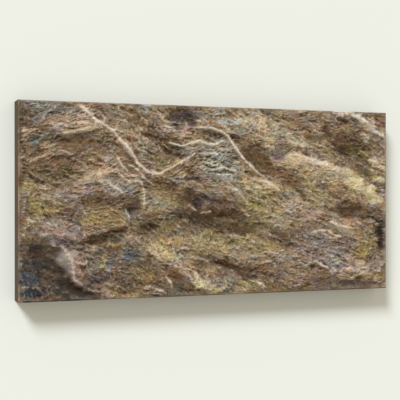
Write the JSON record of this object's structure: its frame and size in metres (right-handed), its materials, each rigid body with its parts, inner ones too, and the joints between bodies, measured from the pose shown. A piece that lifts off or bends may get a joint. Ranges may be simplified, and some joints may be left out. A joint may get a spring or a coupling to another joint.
{
  "type": "faux stone cladding tile",
  "caption": "Rectangular faux stone wall tile: one cast slab with a flat bonding back, square plain sides and a rock-cut front face of crests, ledges and hollows.",
  "frame": {"origin": "centre of the flat bonding face, the tile's back", "axes": "+Z out of the rock face, away from the wall; +X along the tile's long side, to the right as the tile is seen on the wall; +Y up the wall"},
  "size_m": [0.625, 0.3, 0.0438],
  "materials": {
    "cast_stone": "matt, rough, stained in browns, greys and ochres"
  },
  "bodies": {
    "root": {"cladding_tile": "cast_stone"}
  },
  "joints": []
}
